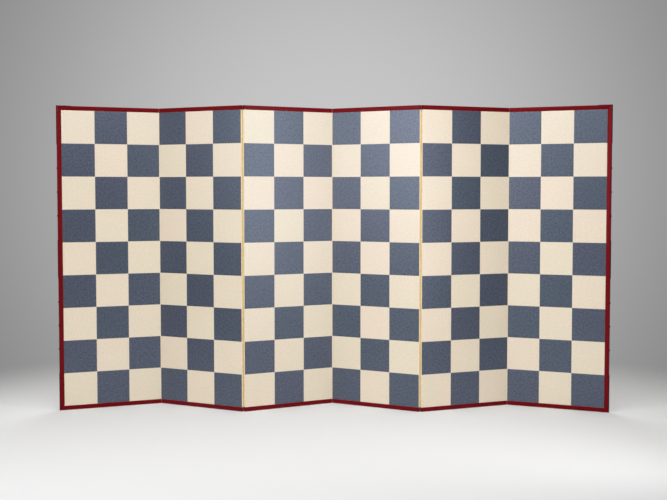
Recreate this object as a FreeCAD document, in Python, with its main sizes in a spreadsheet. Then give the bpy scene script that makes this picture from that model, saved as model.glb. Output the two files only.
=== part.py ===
import FreeCAD, Part
import os
import Sketcher

V = FreeCAD.Vector

# Counts of what repeats on the screen.
PANELS = 6
COLUMNS = 3
ROWS = 9
LATTICE_UPRIGHTS = 3
LATTICE_CROSSBARS = 11
HINGE_ZONES = 6
RAIL_PEGS = 4
STILE_PEGS = 5
STUDS_BETWEEN_FITTINGS = 3
NAILS_IN_FITTING = 4

# Driving sizes in millimetres and degrees: name, value, what it is.
SIZES = [
    ("square_side", 182.0, "side of one paper square, seam to seam"),
    ("paper_seam", 0.4, "gap between two neighbouring squares"),
    ("face_paper", 0.3, "thickness of the face squares and of the back paper"),
    ("under_paper", 0.6, "thickness of the layered under-paper"),
    ("core_depth", 13.8, "thickness of the wooden core"),
    ("core_member", 30.0, "width of the core's outer members"),
    ("bar_width", 12.0, "width of a lattice bar"),
    ("tenon_thickness", 5.0, "thickness of the tenons in the core"),
    ("tenon_length", 9.0, "length of the tenons in the core"),
    ("tenon_shoulder", 7.5, "shoulder above and below the tenons of the core's rails"),
    ("glue_line", 0.05, "room for glue around the joints of the core"),
    ("hole_slack", 0.5, "room left at the end of a mortise or a hole"),
    ("rail_face", 24.0, "width of the lacquered rails and stiles, seen from the front"),
    ("rail_proud", 1.2, "how far the lacquered frame stands out from the paper"),
    ("rail_crown", 1.0, "rise of the rounded face of a rail"),
    ("rail_round", 1.5, "radius on the outer edges of a rail"),
    ("hinge_paper", 0.3, "thickness of the hinge paper"),
    ("flap_width", 25.0, "width of a hinge strip's glued flap"),
    ("strip_slit", 1.0, "slit between two hinge strips"),
    ("fold_gap", 0.3, "from a panel's edge to the fold line"),
    ("fold_skin", 0.25, "from a panel's face out to the fold line"),
    ("peg_radius", 3.0, "radius of a frame peg"),
    ("peg_length", 25.0, "length of a frame peg"),
    ("peg_depth", 10.0, "how far a peg reaches into the lacquered frame"),
    ("peg_clear", 0.05, "room around a peg"),
    ("peg_inset", 40.0, "from a corner of the core to the nearest peg"),
    ("plate_thickness", 1.6, "thickness of the metal fittings"),
    ("plate_width", 12.0, "width of the metal fittings"),
    ("plate_tip", 14.0, "length of a fitting's pointed end"),
    ("plate_clear", 0.2, "room around a fitting that is let into a rail"),
    ("corner_leg", 212.0, "length of a corner fitting along the stile"),
    ("corner_arm", 78.0, "length of a corner fitting along the rail"),
    ("middle_length", 215.0, "length of a middle fitting"),
    ("stud_radius", 6.0, "radius of a stud's domed head"),
    ("stud_height", 3.0, "height of a stud's domed head"),
    ("stud_shank_radius", 1.5, "radius of a stud's shank"),
    ("stud_shank_length", 9.0, "length of a stud's shank"),
    ("nail_radius", 2.6, "radius of a fitting nail's head"),
    ("nail_height", 1.3, "height of a fitting nail's head"),
    ("nail_shank_radius", 0.9, "radius of a fitting nail's shank"),
    ("nail_shank_length", 10.0, "length of a fitting nail's shank"),
    ("nail_first", 38.0, "from the frame's corner to a corner fitting's first nail"),
    ("nail_from_tip", 36.0, "from a fitting's pointed end to the nearest nail"),
    ("nail_on_arm", 42.0, "from the frame's corner to the nail on the arm"),
    ("shank_clear", 0.05, "room around a shank"),
    ("heading", 22.7, "plan angle of the first panel"),
    ("turn_1", 50.3, "turn at the first fold, away from flat"),
    ("turn_2", 55.9, "turn at the second fold"),
    ("turn_3", 57.6, "turn at the third fold"),
    ("turn_4", 52.1, "turn at the fourth fold"),
    ("turn_5", 46.8, "turn at the fifth fold"),
]

doc = FreeCAD.newDocument("folding_screen")
sheet = doc.addObject("Spreadsheet::Sheet", "Sizes")
for row, (alias, number, meaning) in enumerate(SIZES, start=1):
    sheet.set(f"A{row}", meaning)
    sheet.set(f"B{row}", str(number))
    sheet.setAlias(f"B{row}", alias)
doc.recompute()

# Formulas that several pieces share. A panel's own frame has x across from its left fold line,
# y from the front of its frame to the back, and z up from the floor.
rail_face = "Sizes.rail_face"
face_width = f"({COLUMNS} * Sizes.square_side)"
face_height = f"({ROWS} * Sizes.square_side)"
face_top = f"({rail_face} + {face_height})"
margin = "(Sizes.fold_gap + Sizes.hinge_paper)"
face_right = f"({margin} + {face_width})"
panel_width = f"({face_width} + 2 * {margin})"
sheet_front = "(Sizes.rail_proud + Sizes.face_paper)"
core_front = f"({sheet_front} + Sizes.under_paper)"
panel_depth = f"(2 * {core_front} + Sizes.core_depth)"
mid_depth = f"({panel_depth} / 2)"
sheet_back = f"({panel_depth} - {sheet_front})"
opening_width = f"({face_width} - 2 * Sizes.core_member)"
opening_height = f"({face_height} - 2 * Sizes.core_member)"
opening_left = f"({margin} + Sizes.core_member)"
opening_right = f"({opening_left} + {opening_width})"
opening_bottom = f"({rail_face} + Sizes.core_member)"
opening_top = f"({opening_bottom} + {opening_height})"
upright_spacing = f"({opening_width} / {LATTICE_UPRIGHTS + 1})"
crossbar_spacing = f"({opening_height} / {LATTICE_CROSSBARS + 1})"
mortise_depth = "(Sizes.tenon_length + Sizes.hole_slack)"
tenon_front = f"({mid_depth} - Sizes.tenon_thickness / 2)"
mortise_front = f"({tenon_front} - Sizes.glue_line)"
mortise_back = f"({tenon_front} + Sizes.tenon_thickness + Sizes.glue_line)"
lap_depth = "((Sizes.core_depth + Sizes.glue_line) / 2)"
core_peg_depth = "(Sizes.peg_length - Sizes.peg_depth + Sizes.hole_slack)"
rail_peg_depth = "(Sizes.peg_depth + Sizes.hole_slack)"
rail_peg_spacing = f"(({face_width} - 2 * Sizes.peg_inset) / {RAIL_PEGS - 1})"
stile_peg_spacing = f"(({face_height} - 2 * Sizes.peg_inset) / {STILE_PEGS - 1})"
zone_height = f"({face_height} / {HINGE_ZONES - 1})"
plate_seat = f"({rail_face} + Sizes.plate_thickness)"
plate_low = f"({mid_depth} - Sizes.plate_width / 2)"
plate_high = f"({mid_depth} + Sizes.plate_width / 2)"
tip_radius = "((Sizes.plate_tip ^ 2 + Sizes.plate_width ^ 2 / 4) / Sizes.plate_width)"
stile_top = f"({face_height} + {rail_face})"
lower_leg_end = f"(Sizes.corner_leg - {rail_face})"
upper_leg_end = f"({stile_top} - Sizes.corner_leg)"
middle_start = f"(({face_height} - Sizes.middle_length) / 2)"
middle_end = f"({middle_start} + Sizes.middle_length)"
stud_spacing = f"(({middle_start} - {lower_leg_end}) / {STUDS_BETWEEN_FITTINGS + 1})"
corner_nail_run = "(Sizes.corner_leg - Sizes.nail_first - Sizes.nail_from_tip)"
corner_nail_spacing = f"({corner_nail_run} / {NAILS_IN_FITTING - 1})"
middle_nail_spacing = f"((Sizes.middle_length - 2 * Sizes.nail_from_tip) / {NAILS_IN_FITTING - 1})"
nail_rows = [
    (f"(Sizes.nail_first - {rail_face})", corner_nail_spacing),
    (f"({middle_start} + Sizes.nail_from_tip)", middle_nail_spacing),
    (f"({upper_leg_end} + Sizes.nail_from_tip)", corner_nail_spacing),
]
arm_nail = f"({rail_face} - Sizes.nail_on_arm)"
nail_hole_depth = "(Sizes.nail_shank_length - Sizes.plate_thickness + Sizes.hole_slack)"
stud_hole_depth = "(Sizes.stud_shank_length + Sizes.hole_slack)"

# The sketch plane that is square to each axis, and which way its normal points along that axis.
PLANES = {"x": ("YZ_Plane", 1), "y": ("XZ_Plane", -1), "z": ("XY_Plane", 1)}


def value(formula):
    """Work out a formula of the sheet's sizes."""
    return float(sheet.evalExpression(formula))


def origin_feature(body, role):
    """Find one of a body's own planes or axes."""
    return next(part for part in body.Origin.OriginFeatures if part.Role == role)


def new_body(name):
    """Start an empty body."""
    return doc.addObject("PartDesign::Body", name)


def rectangle(left, bottom, right, top):
    """Give the corners of a rectangle, counter-clockwise."""
    return [(left, bottom), (right, bottom), (right, top), (left, top)]


def hold(sketch, shape, point, x, y):
    """Tie one point of a sketch to two formulas, measured from the sketch's origin."""
    for kind, formula in (("DistanceX", x), ("DistanceY", y)):
        constraint = Sketcher.Constraint(kind, -1, 1, shape, point, value(formula))
        number = sketch.addConstraint(constraint)
        sketch.setExpression(f"Constraints[{number}]", formula)


def draw_outline(sketch, corners):
    """Draw a closed counter-clockwise outline. A corner with a radius starts a side that bulges out."""
    first = sketch.GeometryCount
    count = len(corners)
    points = [V(value(corner[0]), value(corner[1]), 0) for corner in corners]
    for index, corner in enumerate(corners):
        start = points[index]
        end = points[(index + 1) % count]
        if len(corner) == 2:
            sketch.addGeometry(Part.LineSegment(start, end))
            continue
        radius = value(corner[2])
        chord = end - start
        outward = V(chord.y, -chord.x, 0).normalize()
        rise = radius - (radius ** 2 - chord.Length ** 2 / 4) ** 0.5
        sketch.addGeometry(Part.Arc(start, (start + end) / 2 + outward * rise, end))
    for index in range(count):
        following = first + (index + 1) % count
        sketch.addConstraint(Sketcher.Constraint("Coincident", first + index, 2, following, 1))
    for index, corner in enumerate(corners):
        hold(sketch, first + index, 1, corner[0], corner[1])
        if len(corner) == 3:
            constraint = Sketcher.Constraint("Radius", first + index, value(corner[2]))
            number = sketch.addConstraint(constraint)
            sketch.setExpression(f"Constraints[{number}]", corner[2])


def draw_circle(sketch, x, y, radius):
    """Draw a circle whose centre and radius follow formulas."""
    circle = Part.Circle(V(value(x), value(y), 0), V(0, 0, 1), value(radius))
    shape = sketch.addGeometry(circle)
    hold(sketch, shape, 3, x, y)
    number = sketch.addConstraint(Sketcher.Constraint("Radius", shape, value(radius)))
    sketch.setExpression(f"Constraints[{number}]", radius)


def new_sketch(body, axis, start):
    """Start a sketch on the body's own plane square to an axis, moved along it to a formula."""
    role, sign = PLANES[axis]
    sketch = body.newObject("Sketcher::SketchObject", f"{body.Name}_sketch")
    sketch.AttachmentSupport = [(origin_feature(body, role), "")]
    sketch.MapMode = "FlatFace"
    sketch.setExpression("AttachmentOffset.Base.z", f"{sign} * {start}")
    return sketch


def extrude(body, kind, axis, length, sketch):
    """Pad or pocket a sketch along the positive axis."""
    sign = PLANES[axis][1]
    feature = body.newObject(f"PartDesign::{kind}", f"{body.Name}_{kind.lower()}")
    feature.Profile = sketch
    feature.Reversed = (sign < 0) == (kind == "Pad")
    feature.setExpression("Length", length)
    return feature


def prism(body, kind, axis, start, length, *outlines):
    """Pad or pocket straight-sided or curved outlines from a start along an axis."""
    sketch = new_sketch(body, axis, start)
    for corners in outlines:
        draw_outline(sketch, corners)
    return extrude(body, kind, axis, length, sketch)


def bore(body, kind, axis, start, length, x, y, radius):
    """Pad or pocket a round pin or hole from a start along an axis."""
    sketch = new_sketch(body, axis, start)
    draw_circle(sketch, x, y, radius)
    return extrude(body, kind, axis, length, sketch)


def repeat(body, features, *runs):
    """Repeat features along one or two axes. Each run is an axis, a spacing formula and a count."""
    runs = [run for run in runs if run[2] > 1]
    if not runs:
        return features[-1]
    pattern = body.newObject("PartDesign::LinearPattern", f"{body.Name}_pattern")
    pattern.Originals = features
    for suffix, (axis, spacing, count) in zip(("", "2"), runs):
        setattr(pattern, f"Direction{suffix}", (origin_feature(body, f"{axis}_Axis"), [""]))
        pattern.setExpression(f"Length{suffix}", f"{count - 1} * {spacing}")
        setattr(pattern, f"Occurrences{suffix}", count)
    body.Tip = pattern
    return pattern


def drilled_row(body, axis, start, length, x, y, radius, *runs):
    """Drill a row of equal holes."""
    hole = bore(body, "Pocket", axis, start, length, x, y, radius)
    repeat(body, [hole], *runs)


def bar_slot(base, spacing):
    """The sides of the slot for the first lattice bar past a base."""
    half_width = "(Sizes.bar_width / 2 + Sizes.glue_line)"
    return f"({base} + {spacing} - {half_width})", f"({base} + {spacing} + {half_width})"


def bar_shoulders(start, end):
    """Where a bar's shoulders stand, a glue line short of the members that it is tenoned into."""
    return f"({start} + Sizes.glue_line)", f"({end} - Sizes.glue_line)"


def core_stile(name, left, mortise_start, peg_start, pegged):
    """One upright of the core, mortised for the crossbars and the core's rails."""
    body = new_body(name)
    right = f"({left} + Sizes.core_member)"
    prism(body, "Pad", "y", core_front, "Sizes.core_depth", rectangle(left, rail_face, right, face_top))
    low, high = bar_slot(opening_bottom, crossbar_spacing)
    slot = rectangle(mortise_front, low, mortise_back, high)
    mortise = prism(body, "Pocket", "x", mortise_start, mortise_depth, slot)
    repeat(body, [mortise], ("Z", crossbar_spacing, LATTICE_CROSSBARS))
    for base in (rail_face, opening_top):
        low = f"({base} + Sizes.tenon_shoulder - Sizes.glue_line)"
        high = f"({base} + Sizes.core_member - Sizes.tenon_shoulder + Sizes.glue_line)"
        slot = rectangle(mortise_front, low, mortise_back, high)
        prism(body, "Pocket", "x", mortise_start, mortise_depth, slot)
    if pegged:
        first = f"({rail_face} + Sizes.peg_inset)"
        hole = "(Sizes.peg_radius + Sizes.peg_clear)"
        run = ("Z", stile_peg_spacing, STILE_PEGS)
        drilled_row(body, "x", peg_start, core_peg_depth, mid_depth, first, hole, run)
    return body


def core_rail(name, bottom, mortise_start, peg_start):
    """One cross member of the core, tenoned into the stiles and mortised for the uprights."""
    body = new_body(name)
    top = f"({bottom} + Sizes.core_member)"
    left, right = bar_shoulders(opening_left, opening_right)
    prism(body, "Pad", "y", core_front, "Sizes.core_depth", rectangle(left, bottom, right, top))
    tenon = rectangle(
        f"({opening_left} - Sizes.tenon_length)",
        f"({bottom} + Sizes.tenon_shoulder)",
        f"({opening_right} + Sizes.tenon_length)",
        f"({top} - Sizes.tenon_shoulder)",
    )
    prism(body, "Pad", "y", tenon_front, "Sizes.tenon_thickness", tenon)
    left, right = bar_slot(opening_left, upright_spacing)
    slot = rectangle(left, mortise_front, right, mortise_back)
    mortise = prism(body, "Pocket", "z", mortise_start, mortise_depth, slot)
    repeat(body, [mortise], ("X", upright_spacing, LATTICE_UPRIGHTS))
    first = f"({margin} + Sizes.peg_inset)"
    hole = "(Sizes.peg_radius + Sizes.peg_clear)"
    run = ("X", rail_peg_spacing, RAIL_PEGS)
    drilled_row(body, "z", peg_start, core_peg_depth, first, mid_depth, hole, run)
    return body


def crossbars():
    """The level lattice bars, tenoned at both ends and notched at the back for the uprights."""
    body = new_body("crossbars")
    low = f"({opening_bottom} + {crossbar_spacing} - Sizes.bar_width / 2)"
    high = f"({low} + Sizes.bar_width)"
    left, right = bar_shoulders(opening_left, opening_right)
    shoulder = prism(body, "Pad", "y", core_front, "Sizes.core_depth", rectangle(left, low, right, high))
    left = f"({opening_left} - Sizes.tenon_length)"
    right = f"({opening_right} + Sizes.tenon_length)"
    tenon = rectangle(left, low, right, high)
    through = prism(body, "Pad", "y", tenon_front, "Sizes.tenon_thickness", tenon)
    repeat(body, [shoulder, through], ("Z", crossbar_spacing, LATTICE_CROSSBARS))
    left, right = bar_slot(opening_left, upright_spacing)
    notch = rectangle(left, opening_bottom, right, opening_top)
    lap_start = f"({core_front} + Sizes.core_depth - {lap_depth})"
    lap = prism(body, "Pocket", "y", lap_start, lap_depth, notch)
    repeat(body, [lap], ("X", upright_spacing, LATTICE_UPRIGHTS))
    return body


def uprights():
    """The upright lattice bars, tenoned at both ends and notched at the front for the crossbars."""
    body = new_body("uprights")
    left = f"({opening_left} + {upright_spacing} - Sizes.bar_width / 2)"
    right = f"({left} + Sizes.bar_width)"
    low, high = bar_shoulders(opening_bottom, opening_top)
    shoulder = prism(body, "Pad", "y", core_front, "Sizes.core_depth", rectangle(left, low, right, high))
    low = f"({opening_bottom} - Sizes.tenon_length)"
    high = f"({opening_top} + Sizes.tenon_length)"
    tenon = rectangle(left, low, right, high)
    through = prism(body, "Pad", "y", tenon_front, "Sizes.tenon_thickness", tenon)
    repeat(body, [shoulder, through], ("X", upright_spacing, LATTICE_UPRIGHTS))
    low, high = bar_slot(opening_bottom, crossbar_spacing)
    notch = rectangle(opening_left, low, opening_right, high)
    lap = prism(body, "Pocket", "y", core_front, lap_depth, notch)
    repeat(body, [lap], ("Z", crossbar_spacing, LATTICE_CROSSBARS))
    return body


def strip_ends(zone):
    """The lower and upper end of a hinge zone. The first and last zones are half as tall."""
    low = max(0, zone - 0.5)
    high = min(HINGE_ZONES - 1, zone + 0.5)
    return f"({rail_face} + {low} * {zone_height})", f"({rail_face} + {high} * {zone_height})"


def front_flap(edge, zone):
    """Tell if a hinge strip is glued to the front. The strips change sides from zone to zone."""
    return (zone % 2 == 0) == (edge == "right")


def under_paper(name, edges):
    """The front and back under-papers, with shallow recesses for the hinge flaps."""
    sheets = []
    for side in ("front", "back"):
        body = new_body(f"{name}_{side}")
        start = sheet_front if side == "front" else f"({sheet_back} - Sizes.under_paper)"
        sheet_outline = rectangle(margin, rail_face, face_right, face_top)
        prism(body, "Pad", "y", start, "Sizes.under_paper", sheet_outline)
        reach = "(Sizes.flap_width + Sizes.strip_slit / 2)"
        recesses = []
        for edge in edges:
            left = margin if edge == "left" else f"({face_right} - {reach})"
            for zone in range(HINGE_ZONES):
                low, high = strip_ends(zone)
                if front_flap(edge, zone) == (side == "front"):
                    recesses.append(rectangle(left, low, f"({left} + {reach})", high))
        flap_start = sheet_front if side == "front" else f"({sheet_back} - Sizes.hinge_paper)"
        prism(body, "Pocket", "y", flap_start, "Sizes.hinge_paper", *recesses)
        sheets.append(body)
    return sheets


def hinge_papers(name, edges):
    """The hinge strips: each lines a stretch of the panel's edge and turns onto one face."""
    strips = new_body(name)
    paper = "Sizes.hinge_paper"
    for edge in edges:
        outer = "Sizes.fold_gap" if edge == "left" else f"({face_right} + {paper})"
        inner = margin if edge == "left" else face_right
        tip = f"({margin} + Sizes.flap_width)" if edge == "left" else f"({face_right} - Sizes.flap_width)"
        for zone in range(HINGE_ZONES):
            if front_flap(edge, zone):
                face, inside, far = sheet_front, f"({sheet_front} + {paper})", sheet_back
            else:
                face, inside, far = sheet_back, f"({sheet_back} - {paper})", sheet_front
            corners = [(outer, face), (tip, face), (tip, inside), (inner, inside), (inner, far), (outer, far)]
            low, high = strip_ends(zone)
            start = f"({low} + Sizes.strip_slit / 2)"
            prism(strips, "Pad", "z", start, f"({high} - {low} - Sizes.strip_slit)", corners)
    return strips


def paper_squares(name, parity):
    """The squares of one colour: every second square, counted from the lower left."""
    body = new_body(name)
    half_seam = "Sizes.paper_seam / 2"
    step = "2 * Sizes.square_side"
    for column in (0, 1):
        start_row = (column + parity) % 2
        left = f"({margin} + {column} * Sizes.square_side + {half_seam})"
        right = f"({margin} + {column + 1} * Sizes.square_side - {half_seam})"
        low = f"({rail_face} + {start_row} * Sizes.square_side + {half_seam})"
        high = f"({rail_face} + {start_row + 1} * Sizes.square_side - {half_seam})"
        square = rectangle(left, low, right, high)
        pad = prism(body, "Pad", "y", "Sizes.rail_proud", "Sizes.face_paper", square)
        across = ("X", step, (COLUMNS - column + 1) // 2)
        upward = ("Z", step, (ROWS - start_row + 1) // 2)
        repeat(body, [pad], across, upward)
    return body


def frame_pegs(name, ended):
    """The pegs between the core and the lacquered rails, and the stile where there is one."""
    body = new_body(name)
    first = f"({margin} + Sizes.peg_inset)"
    upper_start = f"({face_top} + Sizes.peg_depth - Sizes.peg_length)"
    for start in (f"({rail_face} - Sizes.peg_depth)", upper_start):
        peg = bore(body, "Pad", "z", start, "Sizes.peg_length", first, mid_depth, "Sizes.peg_radius")
        repeat(body, [peg], ("X", rail_peg_spacing, RAIL_PEGS))
    if ended:
        start = f"({margin} - Sizes.peg_depth)"
        first = f"({rail_face} + Sizes.peg_inset)"
        peg = bore(body, "Pad", "x", start, "Sizes.peg_length", mid_depth, first, "Sizes.peg_radius")
        repeat(body, [peg], ("Z", stile_peg_spacing, STILE_PEGS))
    return body


def moulding(name, start, length):
    """A length of the crowned lacquered moulding: x along it, z outward from the panel."""
    body = new_body(name)
    back_edge = f"({panel_depth} - Sizes.rail_crown)"
    crown_radius = "((Sizes.rail_face ^ 2 / 4 + Sizes.rail_crown ^ 2) / (2 * Sizes.rail_crown))"
    section = [
        ("Sizes.rail_crown", "0"),
        (back_edge, "0", crown_radius),
        (back_edge, rail_face),
        ("Sizes.rail_crown", rail_face, crown_radius),
    ]
    pad = prism(body, "Pad", "x", start, length, section)
    doc.recompute()
    outer_edges = [
        f"Edge{number}"
        for number, edge in enumerate(pad.Shape.Edges, start=1)
        if edge.BoundBox.XLength > edge.BoundBox.YLength and edge.BoundBox.ZMin > value(rail_face) / 2
    ]
    rounding = body.newObject("PartDesign::Fillet", f"{name}_rounding")
    rounding.Base = (pad, outer_edges)
    rounding.setExpression("Radius", "Sizes.rail_round")
    return body


def mitre(body, inner_corner, outer_corner):
    """Cut one end of a moulding at the angle where a stile meets a rail."""
    corners = [(inner_corner, "0"), (outer_corner, "0"), (outer_corner, rail_face)]
    prism(body, "Pocket", "y", "0", panel_depth, corners)


def lacquered_rail(name, mitred, let_in):
    """A top or bottom rail. On an end panel it is mitred and carries the arm of a corner fitting."""
    inset = margin if mitred else "Sizes.fold_gap"
    length = f"({panel_width} - Sizes.fold_gap - {inset})"
    if mitred:
        body = moulding(name, f"(-{rail_face})", f"({length} + {rail_face})")
        mitre(body, "0", f"(-{rail_face})")
    else:
        body = moulding(name, "0", length)
    first = f"({margin} + Sizes.peg_inset - {inset})"
    hole = "(Sizes.peg_radius + Sizes.peg_clear)"
    run = ("X", rail_peg_spacing, RAIL_PEGS)
    drilled_row(body, "z", "0", rail_peg_depth, first, mid_depth, hole, run)
    if mitred and let_in:
        arm_end = f"(Sizes.corner_arm + Sizes.plate_clear - {rail_face})"
        low = f"({plate_low} - Sizes.plate_clear)"
        high = f"({plate_high} + Sizes.plate_clear)"
        recess = rectangle(f"(-{rail_face})", low, arm_end, high)
        floor = f"({rail_face} - Sizes.plate_thickness)"
        prism(body, "Pocket", "z", floor, "Sizes.plate_thickness", recess)
    elif mitred:
        hole = "(Sizes.nail_shank_radius + Sizes.shank_clear)"
        place = f"(-{arm_nail})"
        floor = f"({rail_face} - {nail_hole_depth})"
        bore(body, "Pocket", "z", floor, nail_hole_depth, place, mid_depth, hole)
    return body


def lacquered_stile(name):
    """An outer stile, mitred at both ends and drilled for its pegs, studs and fitting nails."""
    outer_length = f"({face_height} + 2 * {rail_face})"
    body = moulding(name, f"(-{rail_face})", outer_length)
    mitre(body, "0", f"(-{rail_face})")
    mitre(body, face_height, stile_top)
    hole = "(Sizes.peg_radius + Sizes.peg_clear)"
    run = ("X", stile_peg_spacing, STILE_PEGS)
    drilled_row(body, "z", "0", rail_peg_depth, "Sizes.peg_inset", mid_depth, hole, run)
    hole = "(Sizes.stud_shank_radius + Sizes.shank_clear)"
    floor = f"({rail_face} - {stud_hole_depth})"
    run = ("X", stud_spacing, STUDS_BETWEEN_FITTINGS)
    for plate_end in (lower_leg_end, middle_end):
        first = f"({plate_end} + {stud_spacing})"
        drilled_row(body, "z", floor, stud_hole_depth, first, mid_depth, hole, run)
    hole = "(Sizes.nail_shank_radius + Sizes.shank_clear)"
    floor = f"({rail_face} - {nail_hole_depth})"
    for first, spacing in nail_rows:
        run = ("X", spacing, NAILS_IN_FITTING)
        drilled_row(body, "z", floor, nail_hole_depth, first, mid_depth, hole, run)
    tip = rectangle(
        f"(-{rail_face})",
        f"({plate_low} - Sizes.plate_clear)",
        f"(Sizes.plate_thickness - {rail_face})",
        f"({plate_high} + Sizes.plate_clear)",
    )
    prism(body, "Pocket", "z", f"({rail_face} - Sizes.plate_thickness)", "Sizes.plate_thickness", tip)
    return body


def edge_fittings(name):
    """The two corner fittings and the middle fitting of one outer edge, in the stile's own frame."""
    body = new_body(name)
    thick = "Sizes.plate_thickness"
    lower_neck = f"({lower_leg_end} - Sizes.plate_tip)"
    upper_neck = f"({upper_leg_end} + Sizes.plate_tip)"
    arm_neck = f"({rail_face} - Sizes.corner_arm + Sizes.plate_tip)"
    lower_leg = [
        (f"(-{rail_face})", plate_low),
        (lower_neck, plate_low, tip_radius),
        (lower_leg_end, mid_depth, tip_radius),
        (lower_neck, plate_high),
        (f"(-{rail_face})", plate_high),
    ]
    upper_leg = [
        (upper_neck, plate_high, tip_radius),
        (upper_leg_end, mid_depth, tip_radius),
        (upper_neck, plate_low),
        (f"({stile_top} + {thick})", plate_low),
        (f"({stile_top} + {thick})", plate_high),
    ]
    middle = [
        (f"({middle_start} + Sizes.plate_tip)", plate_high, tip_radius),
        (middle_start, mid_depth, tip_radius),
        (f"({middle_start} + Sizes.plate_tip)", plate_low),
        (f"({middle_end} - Sizes.plate_tip)", plate_low, tip_radius),
        (middle_end, mid_depth, tip_radius),
        (f"({middle_end} - Sizes.plate_tip)", plate_high),
    ]
    arm = [
        (plate_high, plate_seat),
        (plate_low, plate_seat),
        (plate_low, arm_neck, tip_radius),
        (mid_depth, f"({rail_face} - Sizes.corner_arm)", tip_radius),
        (plate_high, arm_neck),
    ]
    prism(body, "Pad", "z", rail_face, thick, lower_leg, middle, upper_leg)
    prism(body, "Pad", "x", f"(-{rail_face})", thick, arm)
    prism(body, "Pad", "x", stile_top, thick, arm)
    hole = "(Sizes.nail_shank_radius + Sizes.shank_clear)"
    for first, spacing in nail_rows:
        run = ("X", spacing, NAILS_IN_FITTING)
        drilled_row(body, "z", rail_face, thick, first, mid_depth, hole, run)
    bore(body, "Pocket", "x", stile_top, thick, mid_depth, arm_nail, hole)
    return body


def domed_nail(body, axis, along, seat, kind):
    """Turn one domed nail about its own shank. It points along z, or along x on a fitting's arm."""
    head = f"Sizes.{kind}_radius"
    rise = f"Sizes.{kind}_height"
    shank = f"Sizes.{kind}_shank_radius"
    bottom = f"({seat} - Sizes.{kind}_shank_length)"
    dome_radius = f"(({head} ^ 2 + {rise} ^ 2) / (2 * {rise}))"
    profile = [
        ("0", bottom),
        (shank, bottom),
        (shank, seat),
        (head, seat, dome_radius),
        ("0", f"({seat} + {rise})"),
    ]
    corners = []
    for radius, height, *bulge in profile:
        if axis == "z":
            corners.append((f"({along} + {radius})", height, *bulge))
        else:
            corners.append((height, f"({along} - {radius})", *bulge))
    sketch = new_sketch(body, "y", mid_depth)
    draw_outline(sketch, corners)
    nail = body.newObject("PartDesign::Revolution", f"{body.Name}_{kind}")
    nail.Profile = sketch
    nail.ReferenceAxis = (sketch, [f"Edge{len(profile)}"])
    nail.Angle = 360
    return nail


def dome_nails(name):
    """The studs of one outer edge and the nails of its fittings, in the stile's own frame."""
    body = new_body(name)
    for plate_end in (lower_leg_end, middle_end):
        stud = domed_nail(body, "z", f"({plate_end} + {stud_spacing})", rail_face, "stud")
        repeat(body, [stud], ("X", stud_spacing, STUDS_BETWEEN_FITTINGS))
    for first, spacing in nail_rows:
        nail = domed_nail(body, "z", first, plate_seat, "nail")
        repeat(body, [nail], ("X", spacing, NAILS_IN_FITTING))
    domed_nail(body, "x", arm_nail, f"({stile_top} + Sizes.plate_thickness)", "nail")
    return body


def place_in_plan():
    """Lay the panels out in plan, fold by fold. The folds lie in front and behind in turn."""
    places = []
    folds = []
    heading = value("Sizes.heading")
    corner = V(0, 0, 0)
    for number in range(1, PANELS + 1):
        place = FreeCAD.Placement(corner, FreeCAD.Rotation(V(0, 0, 1), heading))
        places.append(place)
        if number == PANELS:
            break
        in_front = number % 2 == 1
        depth = value("-Sizes.fold_skin" if in_front else f"{panel_depth} + Sizes.fold_skin")
        fold = place.multVec(V(value(panel_width), depth, 0))
        heading += value(f"Sizes.turn_{number}") * (-1 if in_front else 1)
        turn = FreeCAD.Rotation(V(0, 0, 1), heading)
        corner = fold - turn.multVec(V(0, depth, 0))
        folds.append(fold)
    return places, folds


def add_sub_part(piece, place):
    """Put a finished piece in its place and keep it for the hand-in."""
    piece.Placement = place
    sub_parts.append(piece)


def add_group(name, pieces, place):
    """Put several loose pieces in place as one sub-part."""
    group = doc.addObject("Part::Compound", name)
    group.Links = pieces
    add_sub_part(group, place)


def shifted(x, y, z, axis=V(0, 0, 1), angle=0):
    """A move by formulas, after a turn about an axis."""
    return FreeCAD.Placement(V(value(x), value(y), value(z)), FreeCAD.Rotation(axis, angle))


# Pieces that the panels share. The last panel's are the first panel's, turned half round.
far_stile_start = f"({face_right} - Sizes.core_member)"
far_peg_start = f"({face_right} - {core_peg_depth})"
near_mortise = f"({opening_left} - {mortise_depth})"
near_stile = core_stile("core_stile_near", margin, near_mortise, margin, False)
near_stile_pegged = core_stile("core_stile_near_pegged", margin, near_mortise, margin, True)
far_stile = core_stile("core_stile_far", far_stile_start, opening_right, far_peg_start, False)
lower_mortise = f"({opening_bottom} - {mortise_depth})"
upper_peg_start = f"({face_top} - {core_peg_depth})"
core_members = [
    far_stile,
    core_rail("core_rail_lower", rail_face, lower_mortise, rail_face),
    core_rail("core_rail_upper", opening_top, opening_top, upper_peg_start),
    crossbars(),
    uprights(),
]
cores = {"end": [near_stile_pegged, *core_members], "inner": [near_stile, *core_members]}
hinged_edges = {"end": ["right"], "inner": ["left", "right"]}
squares = [paper_squares("even_squares", 0), paper_squares("odd_squares", 1)]
under_papers = {kind: under_paper(f"under_paper_{kind}", edges) for kind, edges in hinged_edges.items()}
strips = {kind: hinge_papers(f"hinge_strips_{kind}", edges) for kind, edges in hinged_edges.items()}
pegs = {kind: frame_pegs(f"pegs_{kind}", kind == "end") for kind in hinged_edges}
top_rails = {kind: lacquered_rail(f"top_rail_{kind}", kind == "end", False) for kind in hinged_edges}
bottom_rails = {kind: lacquered_rail(f"bottom_rail_{kind}", kind == "end", True) for kind in hinged_edges}
edge_pieces = {
    "stile": lacquered_stile("stile"),
    "fittings": edge_fittings("fittings"),
    "dome_nails": dome_nails("dome_nails"),
}

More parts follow.
